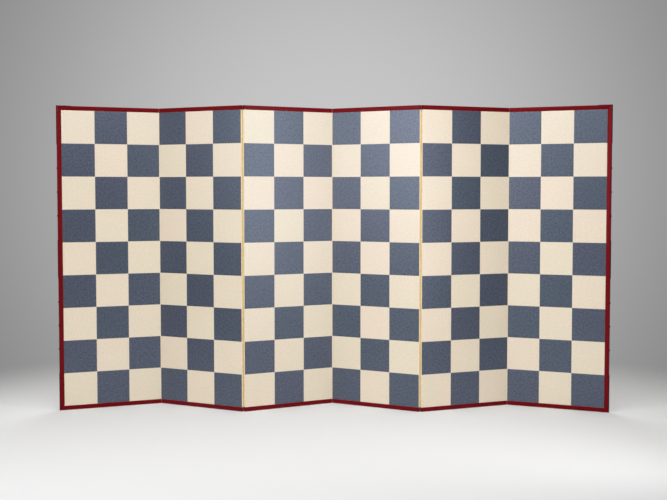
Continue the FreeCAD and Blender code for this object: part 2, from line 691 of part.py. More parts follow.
sub_parts = []
places, folds = place_in_plan()
half_turn = shifted(panel_width, panel_depth, "0", angle=180)
for number, place in enumerate(places, start=1):
    name = f"panel_{number}"
    kind = "end" if number in (1, PANELS) else "inner"
    turned = place * half_turn if number == PANELS else place
    add_group(f"{name}_core", cores[kind], turned)
    add_group(f"{name}_under_paper", under_papers[kind], turned)
    add_group(f"{name}_hinge_papers", [strips[kind]], turned)
    add_group(f"{name}_frame_pegs", [pegs[kind]], turned)
    add_group(f"{name}_cream_squares", [squares[(number + 1) % 2]], place)
    add_group(f"{name}_navy_squares", [squares[number % 2]], place)
    back = doc.addObject("Part::Box", f"{name}_back_paper")
    back.setExpression("Length", face_width)
    back.setExpression("Width", "Sizes.face_paper")
    back.setExpression("Height", face_height)
    add_sub_part(back, place * shifted(margin, sheet_back, rail_face))
    rail_start = margin if kind == "end" else "Sizes.fold_gap"
    add_group(f"{name}_top_rail", [top_rails[kind]], turned * shifted(rail_start, "0", face_top))
    upside_down = shifted(rail_start, panel_depth, rail_face, V(1, 0, 0), 180)
    add_group(f"{name}_bottom_rail", [bottom_rails[kind]], turned * upside_down)

standing = shifted(margin, "0", rail_face, V(0, 1, 0), -90)
for side, place in (("left", places[0]), ("right", places[-1] * half_turn)):
    for piece_name, piece in edge_pieces.items():
        add_group(f"{side}_{piece_name}", [piece], place * standing)
doc.recompute()

# The origin is on the floor, under the middle of the standing screen.
whole = FreeCAD.BoundBox()
for piece in sub_parts:
    whole.add(piece.Shape.optimalBoundingBox())
centring = FreeCAD.Placement(V(-whole.Center.x, -whole.Center.y, 0), FreeCAD.Rotation())
for piece in sub_parts:
    piece.Placement = centring * piece.Placement
doc.recompute()

for thing in doc.Objects:
    if "Invalid" in thing.State or "Error" in thing.State:
        raise RuntimeError(f"{thing.Label} did not build: {thing.State}")
for piece in sub_parts:
    if piece.Shape.isNull() or not piece.Shape.isValid():
        raise RuntimeError(f"{piece.Label} has no valid shape")

os.makedirs("parts", exist_ok=True)
for piece in sub_parts:
    piece.Shape.exportStep(f"parts/{piece.Label}.step")
    print(piece.Label, len(piece.Shape.Solids), "solids", round(piece.Shape.Volume), "mm3")
for number, fold in enumerate(folds, start=1):
    point = centring.multVec(fold)
    print(f"fold {number}-{number + 1} at x {point.x:.4f} y {point.y:.4f}")
print("size", whole.XLength, whole.YLength, whole.ZLength)
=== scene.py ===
"""Looks of a byobu folding screen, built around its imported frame.

The face of each panel is a checker of pasted washi squares, the frame is red urushi lacquer, and the two
outer edges carry blackened copper fittings. Everything is in metres, in the frame's own coordinates.
"""

import logging
import math
from dataclasses import dataclass
from enum import Enum
from typing import Any, Mapping, Sequence

import bmesh
import bpy
from mathutils import Matrix, Vector


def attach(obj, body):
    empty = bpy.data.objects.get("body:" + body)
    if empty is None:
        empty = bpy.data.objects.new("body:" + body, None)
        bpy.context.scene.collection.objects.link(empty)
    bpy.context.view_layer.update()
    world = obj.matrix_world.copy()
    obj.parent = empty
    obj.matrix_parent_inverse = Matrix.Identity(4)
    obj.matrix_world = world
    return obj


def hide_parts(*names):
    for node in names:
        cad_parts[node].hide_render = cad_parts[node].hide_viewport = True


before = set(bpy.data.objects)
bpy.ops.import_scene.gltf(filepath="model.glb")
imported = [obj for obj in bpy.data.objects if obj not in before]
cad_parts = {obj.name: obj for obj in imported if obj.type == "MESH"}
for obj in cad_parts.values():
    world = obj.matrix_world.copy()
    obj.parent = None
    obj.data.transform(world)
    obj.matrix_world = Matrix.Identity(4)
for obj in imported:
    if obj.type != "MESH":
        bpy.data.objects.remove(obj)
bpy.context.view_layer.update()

LOG = logging.getLogger("byobu")
MM = 0.001
PANELS = range(1, 7)

Socket = bpy.types.NodeSocket
Node = bpy.types.Node
Tree = bpy.types.NodeTree
Mesh = bpy.types.Mesh
Piece = bpy.types.Object
Shape = bmesh.types.BMesh
Colour = tuple[float, float, float, float]
Point = tuple[float, float, float]
Pair = tuple[float, float]

# Blender's names for the kinds of node that are used most.
NOISE, BUMP, SHADER = "ShaderNodeTexNoise", "ShaderNodeBump", "ShaderNodeBsdfPrincipled"
MATH, MIX, RANGE = "ShaderNodeMath", "ShaderNodeMix", "ShaderNodeMapRange"
VECTOR, ATTRIBUTE, COORDINATES = "ShaderNodeVectorMath", "ShaderNodeAttribute", "ShaderNodeTexCoord"
SPLIT, JOIN = "ShaderNodeSeparateXYZ", "ShaderNodeCombineXYZ"
POSITION, MOVE = "GeometryNodeInputPosition", "GeometryNodeSetPosition"
STORE, READ = "GeometryNodeStoreNamedAttribute", "GeometryNodeInputNamedAttribute"
# A colour mix has names that repeat: these are its share, its two colours, and the output with the result.
SHARE, FROM, TO, MIXED = 0, 6, 7, 2


class Paper(Enum):
    """The two papers of the checker, with the parity of the squares that each has on the first panel."""

    CREAM = 0
    NAVY = 1


class RailPlace(Enum):
    """Which of a panel's two rails a moulding is."""

    TOP = "top"
    BOTTOM = "bottom"


class Side(Enum):
    """The outer edge of the screen that a stile and its fittings stand on."""

    LEFT = "left"
    RIGHT = "right"


@dataclass(frozen=True)
class ScreenSizes:
    """Driving sizes of the screen, the same as the frame's, in metres."""

    square: float = 182.0 * MM
    columns: int = 3
    rows: int = 9
    seam: float = 0.4 * MM
    face_paper: float = 0.3 * MM
    fold_gap: float = 0.3 * MM
    hinge_paper: float = 0.3 * MM
    rail_gap: float = 0.03 * MM
    rail_face: float = 24.0 * MM
    rail_proud: float = 1.2 * MM
    rail_crown: float = 1.0 * MM
    rail_round: float = 1.5 * MM
    depth: float = 18.0 * MM

    @property
    def margin(self) -> float:
        """From the fold line to the edge of the face paper."""
        return self.fold_gap + self.hinge_paper

    @property
    def face_width(self) -> float:
        """Width of a panel's papered face."""
        return self.columns * self.square

    @property
    def face_height(self) -> float:
        """Height of a panel's papered face."""
        return self.rows * self.square

    @property
    def panel_width(self) -> float:
        """From fold line to fold line."""
        return self.face_width + 2 * self.margin

    @property
    def face_top(self) -> float:
        """Height of the face's upper edge above the floor."""
        return self.rail_face + self.face_height

    @property
    def back_face(self) -> float:
        """Depth at which the back paper starts."""
        return self.depth - self.rail_proud - self.face_paper


SIZES = ScreenSizes()


def linear(code: str) -> Colour:
    """Turn an sRGB hex colour into linear RGBA.

    Args:
        code: Six hex digits after a hash sign.

    Returns:
        The colour with an alpha of 1.
    """
    shares = [int(code[start:start + 2], 16) / 255 for start in (1, 3, 5)]
    # The sRGB curve is straight near black and a power above it.
    red, green, blue = (s / 12.92 if s <= 0.04045 else ((s + 0.055) / 1.055) ** 2.4 for s in shares)
    return red, green, blue, 1.0


def per_metre(millimetres: float) -> float:
    """Give the texture scale at which one feature is this many millimetres wide."""
    return 1 / (millimetres * MM)


def add(tree: Tree, kind: str, inputs: Mapping[str | int, Any] | None = None, **settings: Any) -> Node:
    """Add a node to a tree.

    Args:
        tree: The shader or geometry tree.
        kind: Blender's name for the kind of node.
        inputs: Values for its sockets, by name or number. A socket or a node as value is linked instead.
        settings: The node's own settings.

    Returns:
        The new node.
    """
    made = tree.nodes.new(kind)
    for name, setting in settings.items():
        setattr(made, name, setting)
    for key, value in (inputs or {}).items():
        source = value.outputs[0] if isinstance(value, Node) else value
        if isinstance(source, Socket):
            tree.links.new(source, made.inputs[key])
        else:
            made.inputs[key].default_value = source
    return made


def blank_tree(owner: bpy.types.Material | bpy.types.World) -> Tree:
    """Give a material or a world an empty tree.

    Args:
        owner: The material or the world.

    Returns:
        Its tree.
    """
    owner.use_nodes = True
    owner.node_tree.nodes.clear()
    return owner.node_tree


@dataclass(frozen=True)
class Finish:
    """A finish with its name and its shader. Each kind of finish draws its own nodes."""

    name: str

    def draw(self, tree: Tree) -> Node:
        """Draw the shader's nodes and return the shader."""
        raise NotImplementedError

    def material(self) -> bpy.types.Material:
        """Make the material, or find it if it is made already.

        Returns:
            The material.
        """
        found = bpy.data.materials.get(self.name)
        if found:
            return found
        made = bpy.data.materials.new(self.name)
        tree = blank_tree(made)
        add(tree, "ShaderNodeOutputMaterial", {"Surface": self.draw(tree)})
        return made


@dataclass(frozen=True)
class Washi(Finish):
    """Handmade kozo paper, sized with mica: softly mottled, with long fibres and a cool, silky sheen.

    Each square was cut from another sheet, so its tint differs a little from that of its neighbours. A paper
    without its own place is pasted on in sheets that lap, and its pattern is read off Object coordinates.
    """

    base: str
    warm: str
    cool: str
    fibre: str
    mottle: float
    roughness: float
    sheen: float
    own_place: bool = True

    sheen_tint = "#DBE6FF"
    gloss_swing = 0.06
    base_share = 0.62
    tint_swing = 0.26
    sheet_mm = 303.0
    lap_mm = 9.0
    lap_shade = -0.09
    cloud_mm = 85.0
    # The clouds' noise gives the coolest tint up to the first of these, and the warmest from the second.
    cool_end = 0.28
    warm_end = 0.72
    mottle_mm = 10.0
    # The mottle's noise is darkest up to the first of these, and palest from the second.
    dark_end = 0.35
    pale_end = 0.65
    relief_mm = 0.25
    fibre_long_mm = 34.0
    # Real fibres are a few hundredths of a millimetre wide. They are drawn wider so that they show.
    fibre_wide_mm = 1.6
    fibre_turns = (24.0, -41.0)
    # A streak of noise starts to show as a fibre at the first of these, and shows in full at the second.
    fibre_start = 0.6
    fibre_full = 0.74
    fibre_share = 0.16

    def draw(self, tree: Tree) -> Node:
        """Draw clouds, mottle, fibres and a tint for each square.

        Args:
            tree: The material's tree.

        Returns:
            The shader.
        """
        if self.own_place:
            place = add(tree, ATTRIBUTE, attribute_name="sheet_place").outputs["Vector"]
        else:
            place = add(tree, COORDINATES).outputs["Object"]
        tint = add(tree, ATTRIBUTE, attribute_name="tint").outputs["Fac"]
        cloud = add(
            tree, NOISE, {"Vector": place, "Scale": per_metre(self.cloud_mm), "Detail": 2.0, "Roughness": 0.5}
        )
        drift = add(tree, MATH, {0: tint, 1: self.tint_swing, 2: cloud}, operation="MULTIPLY_ADD")
        warmth = add(tree, RANGE, {"Value": drift, "From Min": self.cool_end, "From Max": self.warm_end})
        tone = add(
            tree, MIX, {SHARE: warmth, FROM: linear(self.cool), TO: linear(self.warm)}, data_type="RGBA"
        )
        body = add(
            tree, MIX, {SHARE: self.base_share, FROM: tone.outputs[MIXED], TO: linear(self.base)},
            data_type="RGBA",
        )
        grain = add(
            tree, NOISE,
            {"Vector": place, "Scale": per_metre(self.mottle_mm), "Detail": 5.0, "Roughness": 0.68},
        )
        shade = add(
            tree, RANGE,
            {
                "Value": grain, "From Min": self.dark_end, "From Max": self.pale_end,
                "To Min": 1 - self.mottle, "To Max": 1 + self.mottle,
            },
        )
        strands = self.strands(tree, place)
        relief = add(tree, MATH, {0: grain, 1: strands}, operation="ADD")
        if not self.own_place:
            lap = self.laps(tree, place)
            shade = add(tree, MATH, {0: lap, 1: self.lap_shade, 2: shade}, operation="MULTIPLY_ADD")
            relief = add(tree, MATH, {0: relief, 1: lap}, operation="ADD")
        mottled = add(
            tree, MIX, {SHARE: 1.0, FROM: body.outputs[MIXED], TO: shade},
            data_type="RGBA", blend_type="MULTIPLY",
        )
        colour = add(
            tree, MIX, {SHARE: strands, FROM: mottled.outputs[MIXED], TO: linear(self.fibre)},
            data_type="RGBA",
        )
        bump = add(tree, BUMP, {"Height": relief, "Strength": 0.25, "Distance": self.relief_mm * MM})
        dull, silky = self.roughness + self.gloss_swing, self.roughness - self.gloss_swing
        gloss = add(tree, RANGE, {"Value": grain, "To Min": dull, "To Max": silky})
        return add(
            tree, SHADER,
            {
                "Base Color": colour.outputs[MIXED], "Roughness": gloss, "Normal": bump, "IOR": 1.7,
                "Specular IOR Level": self.sheen, "Specular Tint": linear(self.sheen_tint),
            },
        )

    def laps(self, tree: Tree, place: Socket) -> Node:
        """Find the laps between the sheets that a large face is pasted from, one above the other.

        Args:
            tree: The material's tree.
            place: Where the pattern is read.

        Returns:
            The node whose value is 1 on a lap.
        """
        height = add(tree, SPLIT, {0: place}).outputs["Z"]
        rise = add(tree, MATH, {0: height, 1: self.sheet_mm * MM}, operation="FLOORED_MODULO")
        return add(tree, MATH, {0: rise, 1: self.lap_mm * MM}, operation="LESS_THAN")

    def strands(self, tree: Tree, place: Socket) -> Node:
        """Draw two layers of crossing fibres.

        Args:
            tree: The material's tree.
            place: Where the pattern is read.

        Returns:
            The node whose value is the share of fibre.
        """
        across, along = per_metre(self.fibre_wide_mm), per_metre(self.fibre_long_mm)
        layers = []
        for turn in self.fibre_turns:
            laid = add(
                tree, "ShaderNodeMapping",
                {"Vector": place, "Rotation": (0, 0, math.radians(turn)), "Scale": (across, along, across)},
            )
            streak = add(tree, NOISE, {"Vector": laid, "Scale": 1.0, "Detail": 2.0, "Distortion": 0.4})
            layer = add(
                tree, RANGE,
                {
                    "Value": streak, "From Min": self.fibre_start, "From Max": self.fibre_full,
                    "To Max": self.fibre_share,
                },
            )
            layers.append(layer)
        return add(tree, MATH, {0: layers[0], 1: layers[1]}, operation="MAXIMUM")


@dataclass(frozen=True)
class Lacquer(Finish):
    """Red urushi over wood: a deep pigmented body, rubbed to a satin, and thinner on the worn edges."""

    body: str
    thin: str
    deep: str
    sheen: str

    cloud_mm = 140.0
    peel_mm = 5.0
    peel_depth_mm = 0.08
    polish_long_mm = 180.0
    polish_wide_mm = 1.8
    smooth = 0.46
    rough = 0.56

    def draw(self, tree: Tree) -> Node:
        """Draw the pigment, the worn edges, the polishing marks and a faint clear coat.

        Args:
            tree: The material's tree.

        Returns:
            The shader.
        """
        place = add(tree, ATTRIBUTE, attribute_name="run_place").outputs["Vector"]
        edge = add(tree, ATTRIBUTE, attribute_name="arris").outputs["Fac"]
        cloud = add(tree, NOISE, {"Vector": place, "Scale": per_metre(self.cloud_mm), "Detail": 3.0})
        pigment = add(
            tree, MIX, {SHARE: cloud, FROM: linear(self.deep), TO: linear(self.body)}, data_type="RGBA"
        )
        rub = add(tree, MATH, {0: edge, 1: cloud}, operation="MULTIPLY")
        colour = add(
            tree, MIX, {SHARE: rub, FROM: pigment.outputs[MIXED], TO: linear(self.thin)}, data_type="RGBA"
        )
        along, across = per_metre(self.polish_long_mm), per_metre(self.polish_wide_mm)
        drawn = add(tree, "ShaderNodeMapping", {"Vector": place, "Scale": (along, across, across)})
        marks = add(tree, NOISE, {"Vector": drawn, "Scale": 1.0, "Detail": 3.0})
        gloss = add(tree, RANGE, {"Value": marks, "To Min": self.smooth, "To Max": self.rough})
        peel = add(tree, NOISE, {"Vector": place, "Scale": per_metre(self.peel_mm), "Detail": 1.0})
        bump = add(tree, BUMP, {"Height": peel, "Strength": 0.12, "Distance": self.peel_depth_mm * MM})
        return add(
            tree, SHADER,
            {
                "Base Color": colour.outputs[MIXED], "Roughness": gloss, "IOR": 1.7, "Normal": bump,
                "Specular IOR Level": 0.42, "Specular Tint": linear(self.sheen),
                "Coat Weight": 0.04, "Coat Roughness": 0.22, "Coat IOR": 1.5,
            },
        )


@dataclass(frozen=True)
class BlackenedCopper(Finish):
    """Copper sheet blackened with lacquer and fire: near black, hammered, and rubbed brown on the edges."""

    body: str
    rubbed: str
    glance: str

    hammer_mm = 4.5
    hammer_depth_mm = 0.25
    smut_mm = 26.0
    smooth = 0.34
    rough = 0.52

    def draw(self, tree: Tree) -> Node:
        """Draw the hammer marks, the smut and the rubbed edges.

        Args:
            tree: The material's tree.

        Returns:
            The shader.
        """
        place = add(tree, COORDINATES).outputs["Object"]
        edge = add(tree, ATTRIBUTE, attribute_name="arris").outputs["Fac"]
        smut = add(tree, NOISE, {"Vector": place, "Scale": per_metre(self.smut_mm), "Detail": 4.0})
        rub = add(tree, MATH, {0: edge, 1: smut}, operation="MULTIPLY")
        colour = add(
            tree, MIX, {SHARE: rub, FROM: linear(self.body), TO: linear(self.rubbed)}, data_type="RGBA"
        )
        marks = add(
            tree, "ShaderNodeTexVoronoi", {"Vector": place, "Scale": per_metre(self.hammer_mm)},
            feature="SMOOTH_F1",
        )
        bump = add(tree, BUMP, {"Height": marks, "Strength": 0.3, "Distance": self.hammer_depth_mm * MM})
        gloss = add(tree, RANGE, {"Value": smut, "To Min": self.smooth, "To Max": self.rough})
        return add(
            tree, SHADER,
            {
                "Base Color": colour.outputs[MIXED], "Metallic": 0.85, "Roughness": gloss, "Normal": bump,
                "Specular Tint": linear(self.glance),
            },
        )


@dataclass(frozen=True)
class HingePaper(Finish):
    """Strong gold-toned paper: mica in its size gives a soft glint, and handling has creased it."""

    body: str
    worn: str

    crease_mm = 14.0
    crease_depth_mm = 0.3
    rub_start = 0.4
    rub_full = 0.7
    mica_mm = 1.5
    smooth = 0.36
    rough = 0.58

    def draw(self, tree: Tree) -> Node:
        """Draw the creases, the rubbed places and the mica.

        Args:
            tree: The material's tree.

        Returns:
            The shader.
        """
        place = add(tree, COORDINATES).outputs["Object"]
        crease = add(
            tree, NOISE,
            {"Vector": place, "Scale": per_metre(self.crease_mm), "Detail": 5.0, "Roughness": 0.62},
        )
        rubbed = add(tree, RANGE, {"Value": crease, "From Min": self.rub_start, "From Max": self.rub_full})
        colour = add(
            tree, MIX, {SHARE: rubbed, FROM: linear(self.body), TO: linear(self.worn)}, data_type="RGBA"
        )
        mica = add(tree, "ShaderNodeTexVoronoi", {"Vector": place, "Scale": per_metre(self.mica_mm)})
        gloss = add(tree, RANGE, {"Value": mica, "To Min": self.smooth, "To Max": self.rough})
        bump = add(tree, BUMP, {"Height": crease, "Strength": 0.3, "Distance": self.crease_depth_mm * MM})
        return add(
            tree, SHADER,
            {"Base Color": colour.outputs[MIXED], "Metallic": 0.12, "Roughness": gloss, "Normal": bump},
        )


@dataclass(frozen=True)
class SplitTimber(Finish):
    """Planed softwood or split bamboo, unfinished: straight grain with paler early wood."""

    early: str
    late: str
    ring_mm: float

    relief_mm = 0.1
    smooth = 0.6
    rough = 0.75

    def draw(self, tree: Tree) -> Node:
        """Draw the grain as wandering rings.

        Args:
            tree: The material's tree.

        Returns:
            The shader.
        """
        place = add(tree, COORDINATES).outputs["Object"]
        rings = add(
            tree, "ShaderNodeTexWave",
            {"Vector": place, "Scale": per_metre(self.ring_mm) / math.tau, "Distortion": 6.0, "Detail": 2.0},
            wave_type="RINGS", rings_direction="Z",
        ).outputs["Fac"]
        colour = add(
            tree, MIX, {SHARE: rings, FROM: linear(self.early), TO: linear(self.late)}, data_type="RGBA"
        )
        bump = add(tree, BUMP, {"Height": rings, "Strength": 0.15, "Distance": self.relief_mm * MM})
        gloss = add(tree, RANGE, {"Value": rings, "To Min": self.smooth, "To Max": self.rough})
        return add(tree, SHADER, {"Base Color": colour.outputs[MIXED], "Roughness": gloss, "Normal": bump})


# Bleached kozo paper, laid by hand and sized with mica: a warm cream, faintly clouded, with a silky sheen.
CREAM_WASHI = Washi("kozo_washi_cream", "#E4D5BC", "#E8D3BD", "#DFD5B7", "#EFE4CE", 0.055, 0.40, 0.78)
# The same paper dipped in indigo, which its fibres take unevenly: a speckled grey blue that gleams.
NAVY_WASHI = Washi("kozo_washi_indigo", "#3B4250", "#424255", "#35444F", "#727B8C", 0.68, 0.38, 0.78)
# Layers of old paper, pasted flat under the face: buff and dull, seen as a hairline between squares.
UNDER_WASHI = Washi("layered_under_paper", "#D8C9A8", "#DCC7A6", "#D2C8AA", "#E6DABF", 0.05, 0.7, 0.3, False)
# Plain paper pasted over the back in sheets: matt buff, a shade darker where the sheets lap.
BACK_WASHI = Washi("plain_back_paper", "#CBBE9F", "#CFBD9C", "#C3BB9F", "#DDD2B8", 0.06, 0.6, 0.4, False)
# Urushi lacquer with iron red in it, rubbed down by hand: a deep, even red with a soft red gleam.
RED_LACQUER = Lacquer("red_urushi_lacquer", "#66060D", "#7E1418", "#570409", "#FF5460")
# Copper plate blackened with fire and lacquer: near black and dull, brown where hands rub its edges.
BLACK_COPPER = BlackenedCopper("blackened_copper", "#0E0D10", "#3A2E28", "#1C1A1A")
# Tough paper with mica in its gold-toned size: pale gold with a faint glint, whiter where it is creased.
GOLD_PAPER = HingePaper("gold_hinge_paper", "#EAD7AC", "#F6E9CD")
# Cedar planed but not oiled: pale tan, with a darker line for each year's late wood.
CEDAR = SplitTimber("planed_cedar", "#D8B98C", "#B58A5A", 4.0)
# Bamboo split into pegs: straw yellow, with fine and close fibres.
BAMBOO = SplitTimber("split_bamboo", "#D9C48E", "#BFA36A", 1.2)


@dataclass(frozen=True)
class PanelPlace:
    """Where one panel stands. Its own frame has x across, y from front to back, and z up from the floor."""

    number: int
    matrix: Matrix

    @classmethod
    def read(cls, number: int) -> "PanelPlace":
        """Read a panel's place off its back paper, whose corners tell its heading.

        Args:
            number: The panel, counted from the left.

        Returns:
            The panel's place.
        """
        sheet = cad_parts[f"panel_{number}_back_paper"].data
        corners = sorted((vertex.co for vertex in sheet.vertices), key=lambda corner: corner.x)
        half = len(corners) // 2
        left = sum(corners[:half], Vector()) / half
        right = sum(corners[half:], Vector()) / half
        heading = math.atan2(right.y - left.y, right.x - left.x)
        turn = Matrix.Rotation(heading, 4, "Z")
        paper_middle = Vector((SIZES.margin, SIZES.back_face + SIZES.face_paper / 2, 0))
        corner = Vector((left.x, left.y, 0)) - turn @ paper_middle
        return cls(number, Matrix.Translation(corner) @ turn)

    @property
    def body(self) -> str:
        """Name of the body that the panel's pieces ride on."""
        return f"panel_{self.number}"

    @property
    def ended(self) -> bool:
        """Tell if the panel is the first or the last, and so has a stile."""
        return self.number in (PANELS[0], PANELS[-1])

    @property
    def folds(self) -> list[bool]:
        """The panel's folding edges, each told by whether it is the right one."""
        return [at_right for at_right in (False, True) if self.number != PANELS[-1 if at_right else 0]]

    @property
    def stile_first(self) -> Matrix:
        """The panel's matrix, turned half round on the last panel so that its stile comes first.

        Returns:
            The matrix.
        """
        if self.number != PANELS[-1]:
            return self.matrix
        half_turn = Matrix.Translation((SIZES.panel_width, SIZES.depth, 0)) @ Matrix.Rotation(math.pi, 4, "Z")
        return self.matrix @ half_turn


def stand(name: str, data: bpy.types.ID) -> Piece:
    """Put a mesh, a lamp or a camera into the scene.

    Args:
        name: The name of its object.
        data: The mesh, the lamp or the camera.

    Returns:
        Its object, at the origin.
    """
    made = bpy.data.objects.new(name, data)
    bpy.context.scene.collection.objects.link(made)
    return made


def keep_piece(
    name: str, mesh: Mesh, finish: Finish, body: str, nodes: Sequence[str], sharp_deg: float = 0.0
) -> Piece:
    """Turn a finished mesh into a piece that rides on a body and stands for nodes of the frame.

    Args:
        name: The piece's name.
        mesh: Its mesh, already in place.
        finish: Its finish.
        body: The body that it rides on.
        nodes: The nodes that it stands for.
        sharp_deg: The angle past which an edge stays sharp on a smooth piece, or 0 for one with flat faces.

    Returns:
        The piece.
    """
    mesh.name = name
    if not mesh.materials:
        mesh.materials.append(finish.material())
    if sharp_deg:
        mesh.shade_smooth()
        mesh.set_sharp_from_angle(angle=math.radians(sharp_deg))
    piece = stand(name, mesh)
    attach(piece, body)
    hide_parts(*nodes)
    LOG.info("%s rides on %s, %d faces", name, body, len(mesh.polygons))
    return piece


def mesh_from(shape: Shape) -> Mesh:
    """Keep a shape as a mesh, and free the shape.

    Args:
        shape: The shape, which can't be used afterwards.

    Returns:
        The mesh.
    """
    mesh = bpy.data.meshes.new("shape")
    shape.to_mesh(mesh)
    shape.free()
    return mesh


def close_rings(
    shape: Shape, low: Sequence[bmesh.types.BMVert], high: Sequence[bmesh.types.BMVert]
) -> bmesh.types.BMFace:
    """Close two rings of points into a solid with an end on each ring.

    Args:
        shape: The shape that holds the points.
        low: The points of one ring.
        high: The points of the other ring, in the same order.

    Returns:
        The end on the second ring.
    """
    for index in range(len(low)):
        shape.faces.new((low[index - 1], low[index], high[index], high[index - 1]))
    shape.faces.new(low[::-1])
    end = shape.faces.new(high)
    bmesh.ops.recalc_face_normals(shape, faces=shape.faces)
    return end


def round_edges(shape: Shape, edges: Sequence[bmesh.types.BMEdge], reach: float, steps: int) -> None:
    """Round off some edges of a shape.

    Args:
        shape: The shape.
        edges: The edges.
        reach: How far from an edge the rounding starts.
        steps: How many facets the rounding has.
    """
    bmesh.ops.bevel(
        shape, geom=list(edges), offset=reach, offset_type="OFFSET", segments=steps, profile=0.5,
        affect="EDGES",
    )


def grown_mesh(seeds: Mesh, tree: Tree, sizes: Mapping[str, Any]) -> Mesh:
    """Run a geometry tree on a mesh and keep the result as a plain mesh.

    Args:
        seeds: The mesh that the tree starts from.
        tree: The geometry tree.
        sizes: Values for the tree's named inputs.

    Returns:
        The plain mesh.
    """
    carrier = stand("carrier", seeds)
    modifier = carrier.modifiers.new("growth", "NODES")
    modifier.node_group = tree
    for item in tree.interface.items_tree:
        if item.in_out == "INPUT" and item.name in sizes:
            modifier[item.identifier] = sizes[item.name]
    graph = bpy.context.evaluated_depsgraph_get()
    shown = carrier.evaluated_get(graph)
    grown = bpy.data.meshes.new_from_object(shown, preserve_all_data_layers=True, depsgraph=graph)
    carrier.modifiers.remove(modifier)
    bpy.data.objects.remove(carrier)
    bpy.data.meshes.remove(seeds)
    return grown


def new_tree(name: str, inputs: Mapping[str, str]) -> tuple[Tree, Node]:
    """Start a geometry tree.

    Args:
        name: The tree's name.
        inputs: The kind of each named input, without its NodeSocket prefix.

    Returns:
        The tree and its input node.
    """
    tree = bpy.data.node_groups.new(name, "GeometryNodeTree")
    for label, kind in inputs.items():
        tree.interface.new_socket(label, in_out="INPUT", socket_type=f"NodeSocket{kind}")
    tree.interface.new_socket("Geometry", in_out="OUTPUT", socket_type="NodeSocketGeometry")
    return tree, add(tree, "NodeGroupInput")


def close_tree(tree: Tree, geometry: Node, material: Socket) -> None:
    """End a geometry tree in realized instances with a material.

    Args:
        tree: The geometry tree.
        geometry: The node that gives the shape.
        material: The input that names the material.
    """
    real = add(tree, "GeometryNodeRealizeInstances", {"Geometry": geometry})
    dressed = add(tree, "GeometryNodeSetMaterial", {"Geometry": real, "Material": material})
    add(tree, "NodeGroupOutput", {"Geometry": dressed})


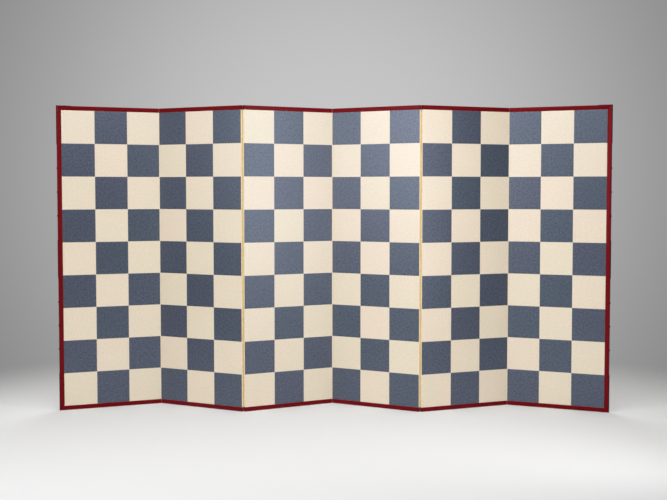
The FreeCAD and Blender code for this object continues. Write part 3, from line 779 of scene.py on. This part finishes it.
@dataclass
class PaperFace:
    place: PanelPlace
    tree: Tree
    facets: int = 13
    edge_drop: float = 0.12 * MM
    cockle: float = 0.10 * MM
    cockle_mm: float = 60.0
    sharp_deg: float = 35.0

    @staticmethod
    def squares_tree() -> Tree:
        """Build the tree that lays every second square of a checker, front up, in the plane of x and y.

        Returns:
            The tree.
        """
        tree, given = new_tree(
            "washi_squares",
            {
                "Geometry": "Geometry", "Columns": "Int", "Rows": "Int", "Width": "Float", "Height": "Float",
                "Parity": "Int", "Seed": "Int", "Sheet": "Vector", "Facets": "Int", "Cockle": "Float",
                "Trough": "Float", "Cockle scale": "Float", "Edge height": "Float", "Material": "Material",
            },
        )
        size = given.outputs
        middles = add(
            tree, "GeometryNodeMeshGrid",
            {
                "Size X": size["Width"], "Size Y": size["Height"],
                "Vertices X": size["Columns"], "Vertices Y": size["Rows"],
            },
        )
        # Rows and columns are odd in number, so every second point of the grid is one colour of the checker.
        point = add(tree, "GeometryNodeInputIndex")
        count = add(tree, MATH, {0: point, 1: size["Parity"]}, operation="ADD")
        odd = add(tree, MATH, {0: count, 1: 2.0}, operation="FLOORED_MODULO")
        kept = add(tree, "GeometryNodeDeleteGeometry", {0: middles, 1: odd})

        # The points of a sheet crowd towards its edges, where the paper dips to the paste.
        sheet = add(
            tree, "GeometryNodeMeshCube",
            {
                "Size": size["Sheet"],
                "Vertices X": size["Facets"], "Vertices Y": size["Facets"], "Vertices Z": 2,
            },
        )
        own = add(tree, POSITION)
        share = add(tree, VECTOR, {0: own, 1: size["Sheet"]}, operation="DIVIDE")
        angle = add(tree, VECTOR, {0: share, "Scale": math.pi}, operation="SCALE")
        sine = add(tree, VECTOR, {0: angle}, operation="SINE")
        spread = add(tree, VECTOR, {0: sine, 1: size["Sheet"]}, operation="MULTIPLY")
        crowded = add(tree, VECTOR, {0: spread, "Scale": 0.5}, operation="SCALE")
        dense = add(tree, MOVE, {"Geometry": sheet, "Position": crowded})
        # A share runs from the sheet's middle to half at its edge. The points this near to half are the rim.
        rim = 0.4995
        reach = add(tree, VECTOR, {0: share}, operation="ABSOLUTE")
        across = add(tree, SPLIT, {0: reach}).outputs
        farthest = add(tree, MATH, {0: across["X"], 1: across["Y"]}, operation="MAXIMUM")
        at_edge = add(tree, MATH, {0: farthest, 1: rim}, operation="GREATER_THAN")
        marked = add(tree, STORE, {"Geometry": dense, "Name": "edge", "Value": at_edge})
        laid = add(tree, "GeometryNodeInstanceOnPoints", {"Points": kept, "Instance": marked})
        # A random number has an input and an output for each kind of value: these are the ones for a float.
        tint = add(
            tree, "FunctionNodeRandomValue", {2: -1.0, 3: 1.0, "Seed": size["Seed"]}, data_type="FLOAT"
        )
        tinted = add(
            tree, STORE, {"Geometry": laid, "Name": "tint", "Value": tint.outputs[1]}, domain="INSTANCE"
        )
        loose = add(tree, "GeometryNodeRealizeInstances", {"Geometry": tinted})

        # The front cockles by a slow noise, apart from its rim, and the back stays flat on the paste.
        here = add(tree, POSITION)
        placed = add(
            tree, STORE, {"Geometry": loose, "Name": "sheet_place", "Value": here}, data_type="FLOAT_VECTOR"
        )
        wave = add(tree, NOISE, {"Vector": here, "Scale": size["Cockle scale"], "Detail": 1.0})
        swell = add(tree, MATH, {0: wave, 1: size["Cockle"], 2: size["Trough"]}, operation="MULTIPLY_ADD")
        edge = add(tree, READ, {"Name": "edge"}, data_type="FLOAT")
        rise = add(tree, MIX, {0: edge, 2: swell, 3: size["Edge height"]})
        height = add(tree, SPLIT, {0: here}).outputs["Z"]
        front = add(tree, MATH, {0: height, 1: 0.0}, operation="GREATER_THAN")
        raised = add(tree, MATH, {0: rise, 1: front}, operation="MULTIPLY")
        lift = add(tree, JOIN, {"Z": raised})
        shaped = add(tree, MOVE, {"Geometry": placed, "Offset": lift})
        close_tree(tree, shaped, size["Material"])
        return tree

    def build(self, paper: Paper, finish: Washi) -> Piece:
        """Lay the squares of one paper.

        Args:
            paper: Which of the two papers.
            finish: Its finish.

        Returns:
            The piece.
        """
        colour = paper.name.lower()
        sheet = SIZES.square - SIZES.seam
        mesh = grown_mesh(
            bpy.data.meshes.new("seeds"), self.tree,
            {
                "Columns": SIZES.columns, "Rows": SIZES.rows,
                "Width": SIZES.face_width - SIZES.square, "Height": SIZES.face_height - SIZES.square,
                "Parity": (paper.value + self.place.number + 1) % 2,
                "Seed": self.place.number * 2 + paper.value,
                "Sheet": (sheet, sheet, SIZES.face_paper), "Facets": self.facets,
                "Cockle": self.cockle, "Trough": -self.cockle / 2, "Cockle scale": per_metre(self.cockle_mm),
                "Edge height": -self.edge_drop, "Material": finish.material(),
            },
        )
        middle = Vector((
            SIZES.margin + SIZES.face_width / 2,
            SIZES.rail_proud + SIZES.face_paper / 2,
            SIZES.rail_face + SIZES.face_height / 2,
        ))
        mesh.transform(self.place.matrix @ Matrix.Translation(middle) @ Matrix.Rotation(math.pi / 2, 4, "X"))
        body = self.place.body
        name, node = f"{body}_{colour}_washi", f"{body}_{colour}_squares"
        return keep_piece(name, mesh, finish, body, [node], self.sharp_deg)


@dataclass
class LacquerFrame:
    """The lacquered mouldings of one panel: a rail above and below, and a stile on an end panel."""

    place: PanelPlace
    finish: Lacquer
    arc_steps: int = 12
    round_steps: int = 5
    mitre_ease: float = 0.12 * MM
    mitre_steps: int = 2
    corner_deg: float = 30.0
    sharp_deg: float = 40.0

    def section(self) -> list[Vector]:
        """Trace the moulding's section: a crowned front, square sides and a crowned back.

        Returns:
            The section's points, with y in depth and z outward from the panel.
        """
        crown, width = SIZES.rail_crown, SIZES.rail_face
        radius = (width ** 2 / 4 + crown ** 2) / (2 * crown)
        spread = math.asin(width / 2 / radius)
        bulge = []
        for step in range(self.arc_steps + 1):
            angle = spread * (1 - 2 * step / self.arc_steps)
            bulge.append(Vector((0, radius - radius * math.cos(angle), width / 2 - radius * math.sin(angle))))
        back = [Vector((0, SIZES.depth - point.y, point.z)) for point in reversed(bulge)]
        return bulge + back

    def moulding(self, length: float, mitres: tuple[bool, bool]) -> Mesh:
        """Make a length of moulding, x along it from its start and z outward from the panel.

        Args:
            length: The length of its inner edge.
            mitres: Whether its start and its end are cut to meet a moulding round the corner.

        Returns:
            The mesh, with its own place and its worn edges as attributes.
        """
        shape = bmesh.new()
        at_start, at_end = mitres
        low, high = (
            [shape.verts.new((inner + slope * p.z, p.y, p.z)) for p in self.section()]
            for inner, slope in ((0.0, -1 if at_start else 0), (length, 1 if at_end else 0))
        )
        close_rings(shape, low, high)
        # The two long edges on the outside are rounded, and the facets of the crown are left as they are.
        outside = SIZES.rail_face - SIZES.rail_round / 10
        corner = math.radians(self.corner_deg)
        rounded = [
            edge for edge in shape.edges
            if edge.calc_length() > length / 2 and edge.calc_face_angle() > corner
            and all(vertex.co.z > outside for vertex in edge.verts)
        ]
        round_edges(shape, rounded, SIZES.rail_round, self.round_steps)
        # An end at a fold stays square, so that no light passes between two rails that meet there.
        for farthest in [pick for pick, mitred in zip((min, max), mitres) if mitred]:
            cap = farthest(shape.faces, key=lambda face: face.calc_center_median().x)
            round_edges(shape, cap.edges, self.mitre_ease, self.mitre_steps)
        mesh = mesh_from(shape)
        self.note_places(mesh)
        return mesh

    @staticmethod
    def note_places(mesh: Mesh) -> None:
        """Keep each point's place along the moulding, and whether it is on a worn edge.

        Args:
            mesh: The moulding, still in its own frame.
        """
        run = mesh.attributes.new("run_place", "FLOAT_VECTOR", "POINT")
        arris = mesh.attributes.new("arris", "FLOAT", "POINT")
        for index, vertex in enumerate(mesh.vertices):
            run.data[index].vector = vertex.co
            outer = vertex.co.z > SIZES.rail_face - SIZES.rail_round
            front = vertex.co.y < SIZES.rail_crown + SIZES.rail_round
            back = vertex.co.y > SIZES.depth - SIZES.rail_crown - SIZES.rail_round
            arris.data[index].value = 1.0 if outer and (front or back) else 0.0

    def finished(self, mesh: Mesh, seat: Matrix, name: str, node: str) -> Piece:
        """Put a moulding in place and keep it.

        Args:
            mesh: The moulding, in its own frame.
            seat: From its own frame to that of a panel whose stile comes first.
            name: The piece's name.
            node: The node that it stands for.

        Returns:
            The piece.
        """
        mesh.transform(self.place.stile_first @ seat)
        return keep_piece(name, mesh, self.finish, self.place.body, [node], self.sharp_deg)

    def rail(self, where: RailPlace) -> Piece:
        """Make a rail.

        Args:
            where: Whether it is the top or the bottom one.

        Returns:
            The piece.
        """
        start = SIZES.margin if self.place.ended else SIZES.rail_gap
        length = SIZES.panel_width - SIZES.rail_gap - start
        mesh = self.moulding(length, (self.place.ended, False))
        if where is RailPlace.TOP:
            seat = Matrix.Translation((start, 0, SIZES.face_top))
        else:
            upside_down = Matrix.Rotation(math.pi, 4, "X")
            seat = Matrix.Translation((start, SIZES.depth, SIZES.rail_face)) @ upside_down
        name = f"{self.place.body}_{where.value}"
        return self.finished(mesh, seat, f"{name}_moulding", f"{name}_rail")

    def stile(self, side: Side) -> Piece:
        """Make the outer stile of an end panel.

        Args:
            side: The edge of the screen that it stands on.

        Returns:
            The piece.
        """
        mesh = self.moulding(SIZES.face_height, (True, True))
        name = f"{side.value}_stile"
        return self.finished(mesh, stile_seat(), f"{name}_moulding", name)


def stile_seat() -> Matrix:
    """The stile's own frame in its panel's: x up from the lower rail, y inward, z outward."""
    return Matrix.Translation((SIZES.margin, 0, SIZES.rail_face)) @ Matrix.Rotation(-math.pi / 2, 4, "Y")


@dataclass
class EdgeFittings:
    """The metal of one outer edge: two corner plates, a middle plate, their nails and the studs between."""

    place: PanelPlace
    side: Side
    tree: Tree
    finish: BlackenedCopper
    thickness: float = 1.6 * MM
    width: float = 12.0 * MM
    tip: float = 14.0 * MM
    corner_leg: float = 212.0 * MM
    corner_arm: float = 78.0 * MM
    middle_length: float = 215.0 * MM
    stud_radius: float = 6.0 * MM
    stud_height: float = 3.0 * MM
    nail_radius: float = 2.6 * MM
    nail_height: float = 1.3 * MM
    nail_first: float = 38.0 * MM
    nail_from_tip: float = 36.0 * MM
    nail_on_arm: float = 42.0 * MM
    nails: int = 4
    studs: int = 3
    arris_ease: float = 0.45 * MM
    arris_steps: int = 2
    tip_steps: int = 6
    head_segments: int = 24
    head_rings: int = 14
    head_sharp_deg: float = 50.0

    @property
    def stile_top(self) -> float:
        """The frame's upper outer edge, measured up the stile."""
        return SIZES.face_height + SIZES.rail_face

    @property
    def lower_end(self) -> float:
        """Tip of the lower corner plate."""
        return self.corner_leg - SIZES.rail_face

    @property
    def upper_end(self) -> float:
        """Tip of the upper corner plate."""
        return self.stile_top - self.corner_leg

    @property
    def middle_start(self) -> float:
        """Lower end of the middle plate."""
        return (SIZES.face_height - self.middle_length) / 2

    @property
    def middle_end(self) -> float:
        """Upper end of the middle plate."""
        return self.middle_start + self.middle_length

    def pointed_end(self, neck: float, point: float) -> list[Pair]:
        """Trace a plate's pointed end as two arcs that meet, from one side of the plate to the other.

        Args:
            neck: Where the plate starts to narrow.
            point: Where the two arcs meet.

        Returns:
            Places along the plate and across it.
        """
        radius = (self.tip ** 2 + self.width ** 2 / 4) / self.width
        half = self.width / 2
        turn = math.asin(self.tip / radius)
        reach = math.copysign(1, point - neck)
        arc = []
        for step in range(self.tip_steps + 1):
            angle = turn * step / self.tip_steps
            arc.append((neck + reach * radius * math.sin(angle), half - radius + radius * math.cos(angle)))
        mirrored = [(along, -across) for along, across in reversed(arc[:-1])]
        return arc + mirrored

    def plate(self, outline: Sequence[Pair], matrix: Matrix, shape: Shape) -> None:
        """Add a plate with eased edges to a shape.

        Args:
            outline: Its outline, along it and across it.
            matrix: From the plate's own frame, with its face up, to the stile's.
            shape: The shape that takes it.
        """
        part = bmesh.new()
        low, high = (
            [part.verts.new((along, across, height)) for along, across in outline]
            for height in (0.0, self.thickness)
        )
        face = close_rings(part, low, high)
        round_edges(part, face.edges, self.arris_ease, self.arris_steps)
        part.transform(matrix)
        loose = mesh_from(part)
        shape.from_mesh(loose)
        bpy.data.meshes.remove(loose)

    def plates(self) -> Piece:
        """Make the three plates, those at the corners with an arm along the rail.

        Returns:
            The piece.
        """
        shape = bmesh.new()
        half = self.width / 2
        face = SIZES.rail_face
        on_stile = Matrix.Translation((0, SIZES.depth / 2, face))
        upper_edge = self.stile_top + self.thickness
        lower = self.pointed_end(self.lower_end - self.tip, self.lower_end)
        upper = self.pointed_end(self.upper_end + self.tip, self.upper_end)
        middle = self.pointed_end(self.middle_end - self.tip, self.middle_end)
        middle += self.pointed_end(self.middle_start + self.tip, self.middle_start)[::-1]
        lower += [(-face, -half), (-face, half)]
        upper += [(upper_edge, -half), (upper_edge, half)]
        for outline in (lower, upper, middle):
            self.plate(outline, on_stile, shape)
        # An arm lies on the frame's outer face at the corner and points along the rail.
        seat = face + self.thickness
        arm_end = face - self.corner_arm
        arm = self.pointed_end(arm_end + self.tip, arm_end) + [(seat, -half), (seat, half)]
        # The lower arm is let in flush, with its face down, so it starts at the frame's outer edge.
        for foot, up in ((self.stile_top, 1), (self.thickness - face, -1)):
            turn = Matrix(((0, 0, up, foot), (0, 1, 0, SIZES.depth / 2), (1, 0, 0, 0), (0, 0, 0, 1)))
            self.plate(arm, turn, shape)
        bmesh.ops.recalc_face_normals(shape, faces=shape.faces)
        mesh = mesh_from(shape)
        # Hands rub the plates' edges, which are all the points that no large face has.
        arris = mesh.attributes.new("arris", "FLOAT", "POINT")
        large = [polygon for polygon in mesh.polygons if polygon.area > self.width ** 2]
        flat = {index for polygon in large for index in polygon.vertices}
        for index in range(len(mesh.vertices)):
            arris.data[index].value = 0.0 if index in flat else 1.0
        mesh.transform(self.place.stile_first @ stile_seat())
        name = f"{self.side.value}_fittings"
        return keep_piece(f"{name}_plates", mesh, self.finish, self.place.body, [name])

    @staticmethod
    def heads_tree() -> Tree:
        """Build the tree that sets a domed head on each point, out along the point's own axis.

        Returns:
            The tree.
        """
        tree, given = new_tree(
            "domed_heads", {"Geometry": "Geometry", "Segments": "Int", "Rings": "Int", "Material": "Material"}
        )
        size = given.outputs
        ball = add(
            tree, "GeometryNodeMeshUVSphere",
            {"Segments": size["Segments"], "Rings": size["Rings"], "Radius": 1.0},
        )
        spot = add(tree, SPLIT, {0: add(tree, POSITION)}).outputs
        above = add(tree, MATH, {0: spot["Z"], 1: 0.0}, operation="MAXIMUM")
        flat_foot = add(tree, JOIN, {"X": spot["X"], "Y": spot["Y"], "Z": above})
        dome = add(tree, MOVE, {"Geometry": ball, "Position": flat_foot})
        read = {
            name: add(tree, READ, {"Name": name}, data_type=kind)
            for name, kind in (("radius", "FLOAT"), ("height", "FLOAT"), ("axis", "FLOAT_VECTOR"))
        }
        scale = add(tree, JOIN, {"X": read["radius"], "Y": read["radius"], "Z": read["height"]})
        turn = add(tree, "FunctionNodeAlignRotationToVector", {"Vector": read["axis"]}, axis="Z")
        heads = add(
            tree, "GeometryNodeInstanceOnPoints",
            {"Points": size["Geometry"], "Instance": dome, "Rotation": turn, "Scale": scale},
        )
        close_tree(tree, heads, size["Material"])
        return tree

    def head_rows(self) -> list[tuple[Vector, Vector, float, float]]:
        """List the heads of the nails and studs, in the stile's frame.

        Returns:
            For each head its seat, outward axis, radius and height.
        """
        outward, upward = Vector((0, 0, 1)), Vector((1, 0, 0))
        face, depth = SIZES.rail_face, SIZES.depth / 2
        nail, stud = (self.nail_radius, self.nail_height), (self.stud_radius, self.stud_height)
        corner_gap = (self.corner_leg - self.nail_first - self.nail_from_tip) / (self.nails - 1)
        middle_gap = (self.middle_length - 2 * self.nail_from_tip) / (self.nails - 1)
        rows = (
            (self.nail_first - face, corner_gap),
            (self.middle_start + self.nail_from_tip, middle_gap),
            (self.upper_end + self.nail_from_tip, corner_gap),
        )
        heads = []
        for first, gap in rows:
            for count in range(self.nails):
                heads.append((Vector((first + count * gap, depth, face + self.thickness)), outward, *nail))
        arm_spot = Vector((self.stile_top + self.thickness, depth, face - self.nail_on_arm))
        heads.append((arm_spot, upward, *nail))
        stud_gap = (self.middle_start - self.lower_end) / (self.studs + 1)
        for plate_end in (self.lower_end, self.middle_end):
            for count in range(1, self.studs + 1):
                heads.append((Vector((plate_end + count * stud_gap, depth, face)), outward, *stud))
        return heads

    def domes(self) -> Piece:
        """Make the domed heads of the nails and studs.

        Returns:
            The piece.
        """
        heads = self.head_rows()
        matrix = self.place.stile_first @ stile_seat()
        turn = matrix.to_3x3()
        seeds = bpy.data.meshes.new("seeds")
        seeds.from_pydata([matrix @ spot for spot, _, _, _ in heads], [], [])
        radius = seeds.attributes.new("radius", "FLOAT", "POINT")
        height = seeds.attributes.new("height", "FLOAT", "POINT")
        axis = seeds.attributes.new("axis", "FLOAT_VECTOR", "POINT")
        for index, (_, outward, wide, tall) in enumerate(heads):
            radius.data[index].value = wide
            height.data[index].value = tall
            axis.data[index].vector = turn @ outward
        mesh = grown_mesh(
            seeds, self.tree,
            {"Segments": self.head_segments, "Rings": self.head_rings, "Material": self.finish.material()},
        )
        name, node = f"{self.side.value}_domed_heads", f"{self.side.value}_dome_nails"
        body = self.place.body
        return keep_piece(name, mesh, self.finish, body, [node], self.head_sharp_deg)


@dataclass
class HingeStrips:
    """The paper hinges of one panel: strips that line its folding edges and turn onto one of its faces."""

    place: PanelPlace
    finish: HingePaper
    merge: float = 0.001 * MM
    crease: float = 0.2 * MM

    def creases(self, shape: Shape) -> None:
        """Add the paper's crease at each fold: a thin wedge from the lining's edge to the fold line.

        Args:
            shape: The shape that takes the creases, in the panel's own frame.
        """
        lining = SIZES.rail_proud + 2 * SIZES.face_paper
        for at_right in self.place.folds:
            # The folds lie at the front and the back by turns, as the zigzag goes.
            at_front = at_right == (self.place.number % 2 == 1)
            foot, tip = lining, -self.crease
            if not at_front:
                foot, tip = SIZES.depth - foot, SIZES.depth - tip
            outer, inner = SIZES.rail_gap, SIZES.margin
            if at_right:
                outer, inner = SIZES.panel_width - outer, SIZES.panel_width - inner
            corners = ((outer, foot), (inner, foot), (outer, tip))
            low, high = (
                [shape.verts.new((x, y, height)) for x, y in corners]
                for height in (SIZES.rail_face, SIZES.face_top)
            )
            close_rings(shape, low, high)

    def build(self) -> Piece:
        """Copy the frame's strips, and bring their linings up to the fold so that no light passes there.

        Returns:
            The piece.
        """
        body = self.place.body
        node = f"{body}_hinge_papers"
        shape = bmesh.new()
        shape.from_mesh(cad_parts[node].data)
        bmesh.ops.remove_doubles(shape, verts=shape.verts, dist=self.merge)
        shape.transform(self.place.matrix.inverted())
        lining = SIZES.fold_gap + SIZES.hinge_paper / 2
        for vertex in shape.verts:
            if vertex.co.x < lining:
                vertex.co.x = SIZES.rail_gap
            elif vertex.co.x > SIZES.panel_width - lining:
                vertex.co.x = SIZES.panel_width - SIZES.rail_gap
        self.creases(shape)
        shape.transform(self.place.matrix)
        mesh = mesh_from(shape)
        return keep_piece(f"{body}_hinge_strips", mesh, self.finish, body, [node])


@dataclass
class Carcass:
    """What carries the face of one panel, all kept from the frame: core, papers and pegs."""

    place: PanelPlace

    def dress(self) -> None:
        """Give each of the panel's own nodes its finish."""
        finishes: dict[str, Finish] = {
            "core": CEDAR, "under_paper": UNDER_WASHI, "frame_pegs": BAMBOO, "back_paper": BACK_WASHI,
        }
        for part, finish in finishes.items():
            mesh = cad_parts[f"{self.place.body}_{part}"].data
            mesh.materials.clear()
            mesh.materials.append(finish.material())
            LOG.info("%s_%s is dressed in %s", self.place.body, part, finish.name)


@dataclass(frozen=True)
class SoftBox:
    """One studio lamp with a rectangular face."""

    name: str
    place: Point
    target: Point
    face: Pair
    watts: float
    spread: float = 180.0


@dataclass
class Studio:
    """A plain pale floor that fades into a grey room, soft lamps, and the camera."""

    floor_reach: float = 60.0
    floor_drop: float = 0.2 * MM
    # Within the pool the floor is lit by the lamps. Past its edge it fades into a glowing grey, which paints
    # the fall-off of light.
    pool_middle: Point = (0.0, -0.9, 0.0)
    pool_edge: Pair = (1.8, 3.4)
    pale: str = "#F6F6F6"
    ahead: Point = (0.0, 1.0, 0.02)
    backdrop_fade: Pair = (0.04, 0.42)
    backdrop_edge: Pair = (0.34, 0.56)
    # The backdrop's grey ahead and its darker grey to the sides: a painted fall-off of light across the
    # backdrop.
    grey: str = "#C6C6C6"
    side_grey: str = "#828282"
    dark: str = "#202020"
    white: str = "#FFFFFF"
    ambient: float = 0.345
    lens: float = 60.63
    sensor: float = 36.0
    view_end: float = 200.0
    eye: Point = (0.0028, -6.2796, 1.2129)
    pitch: float = 2.956
    lamps: tuple[SoftBox, ...] = (
        SoftBox("left_softbox", (-2.95, -3.0, 2.1), (0.3, 0.0, 1.0), (1.6, 2.4), 31.0, 120.0),
        SoftBox("right_softbox", (1.6, -1.65, 1.6), (-0.3, 0.0, 1.0), (0.5, 2.4), 10.2, 120.0),
        SoftBox("front_softbox", (0.0, -2.9, 3.0), (0.0, 0.0, 0.6), (2.6, 1.8), 49.0),
        SoftBox("rear_softbox", (0.0, 3.4, 2.9), (0.0, 0.0, 0.8), (2.6, 1.8), 60.0),
    )

    def backdrop(self, tree: Tree, direction: Node | Socket) -> Socket:
        """Draw the backdrop: a grey that is palest ahead and darker to the sides, a painted fall-off of the
        studio light. Past its edges, reflections find a dark room.

        Args:
            tree: The world's or the floor's tree.
            direction: The way to the point that is seen, of length one.

        Returns:
            The colour there.
        """
        aside = add(tree, VECTOR, {0: direction, 1: self.ahead}, operation="DISTANCE").outputs["Value"]
        faded, past_edge = (
            add(
                tree, RANGE, {"Value": aside, "From Min": start, "From Max": end},
                interpolation_type="SMOOTHSTEP",
            )
            for start, end in (self.backdrop_fade, self.backdrop_edge)
        )
        # The pale grey ahead that fades to the darker side grey is painted light: the lamps' pool on the
        # backdrop, falling off to the sides.
        seen = add(
            tree, MIX, {SHARE: faded, FROM: linear(self.grey), TO: linear(self.side_grey)}, data_type="RGBA"
        )
        mirrored = add(tree, "ShaderNodeLightPath").outputs["Is Glossy Ray"]
        lost = add(tree, MATH, {0: past_edge, 1: mirrored}, operation="MULTIPLY")
        found = add(
            tree, MIX, {SHARE: lost, FROM: seen.outputs[MIXED], TO: linear(self.dark)}, data_type="RGBA"
        )
        return found.outputs[MIXED]

    def floor(self) -> None:
        """Lay the floor. Its colour fades from pale to the backdrop's grey with distance: near the screen it
        is lit by the lamps, and farther off it glows with the backdrop's grey, a painted fall-off of light.
        """
        mesh = bpy.data.meshes.new("floor")
        reach = self.floor_reach
        corners = [(-reach, -reach), (reach, -reach), (reach, reach), (-reach, reach)]
        mesh.from_pydata([(x, y, -self.floor_drop) for x, y in corners], [], [(0, 1, 2, 3)])
        floor = stand("floor", mesh)
        material = bpy.data.materials.new("studio_floor")
        tree = blank_tree(material)
        place = add(tree, COORDINATES).outputs["Object"]
        away = add(tree, VECTOR, {0: place, 1: self.pool_middle}, operation="DISTANCE").outputs["Value"]
        near, far = self.pool_edge
        # Past the pool the lit floor gives way to a flat grey that glows though it is no lamp: painted
        # fall-off of the studio light.
        fade = add(
            tree, RANGE, {"Value": away, "From Min": near, "From Max": far}, interpolation_type="SMOOTHSTEP"
        )
        lit = add(tree, "ShaderNodeBsdfDiffuse", {"Color": linear(self.pale)})
        onward = add(tree, VECTOR, {0: place, 1: self.eye}, operation="SUBTRACT")
        bearing = add(tree, VECTOR, {0: onward}, operation="NORMALIZE")
        flat = add(tree, "ShaderNodeEmission", {"Color": self.backdrop(tree, bearing)})
        mixed = add(tree, "ShaderNodeMixShader", {0: fade, 1: lit, 2: flat})
        add(tree, "ShaderNodeOutputMaterial", {"Surface": mixed})
        mesh.materials.append(material)

    def room(self) -> None:
        """Light the room evenly, and show the backdrop to the eye and in reflections."""
        world = bpy.data.worlds.new("room")
        bpy.context.scene.world = world
        tree = blank_tree(world)
        direction = add(tree, COORDINATES).outputs["Generated"]
        shown = add(tree, "ShaderNodeBackground", {"Color": self.backdrop(tree, direction), "Strength": 1.0})
        light = add(tree, "ShaderNodeBackground", {"Color": linear(self.white), "Strength": self.ambient})
        ray = add(tree, "ShaderNodeLightPath").outputs
        mirrored = add(tree, MATH, {0: ray["Is Camera Ray"], 1: ray["Is Glossy Ray"]}, operation="MAXIMUM")
        looked_at = add(tree, MATH, {0: mirrored, 1: ray["Is Transmission Ray"]}, operation="MAXIMUM")
        mixed = add(tree, "ShaderNodeMixShader", {0: looked_at, 1: light, 2: shown})
        add(tree, "ShaderNodeOutputWorld", {"Surface": mixed})

    def hang_lamps(self) -> None:
        """Hang the lamps and aim them."""
        for box in self.lamps:
            lamp = bpy.data.lights.new(box.name, "AREA")
            lamp.shape = "RECTANGLE"
            lamp.size, lamp.size_y = box.face
            lamp.energy = box.watts
            lamp.spread = math.radians(box.spread)
            holder = stand(box.name, lamp)
            holder.location = box.place
            aim = Vector(box.target) - Vector(box.place)
            holder.rotation_euler = aim.to_track_quat("-Z", "Y").to_euler()

    def set_camera(self) -> None:
        """Set the camera where the photograph was taken from."""
        camera = bpy.data.cameras.new("camera")
        camera.sensor_width = self.sensor
        camera.lens = self.lens
        camera.clip_end = self.view_end
        holder = stand("camera", camera)
        holder.location = self.eye
        holder.rotation_euler = (math.pi / 2 - math.radians(self.pitch), 0, 0)
        bpy.context.scene.camera = holder

    def build(self) -> None:
        """Set up the whole studio."""
        self.floor()
        self.room()
        self.hang_lamps()
        self.set_camera()
        bpy.context.scene.view_settings.view_transform = "Standard"


def main() -> None:
    """Build the screen panel by panel, then its edges and the studio."""
    logging.basicConfig(level=logging.INFO)
    squares = PaperFace.squares_tree()
    heads = EdgeFittings.heads_tree()
    places = [PanelPlace.read(number) for number in PANELS]
    for place in places:
        Carcass(place).dress()
        HingeStrips(place, GOLD_PAPER).build()
        face = PaperFace(place, squares)
        face.build(Paper.CREAM, CREAM_WASHI)
        face.build(Paper.NAVY, NAVY_WASHI)
        mouldings = LacquerFrame(place, RED_LACQUER)
        mouldings.rail(RailPlace.TOP)
        mouldings.rail(RailPlace.BOTTOM)
    for side, place in ((Side.LEFT, places[0]), (Side.RIGHT, places[-1])):
        LacquerFrame(place, RED_LACQUER).stile(side)
        fittings = EdgeFittings(place, side, heads, BLACK_COPPER)
        fittings.plates()
        fittings.domes()
    Studio().build()


if __name__ == "__main__":
    main()
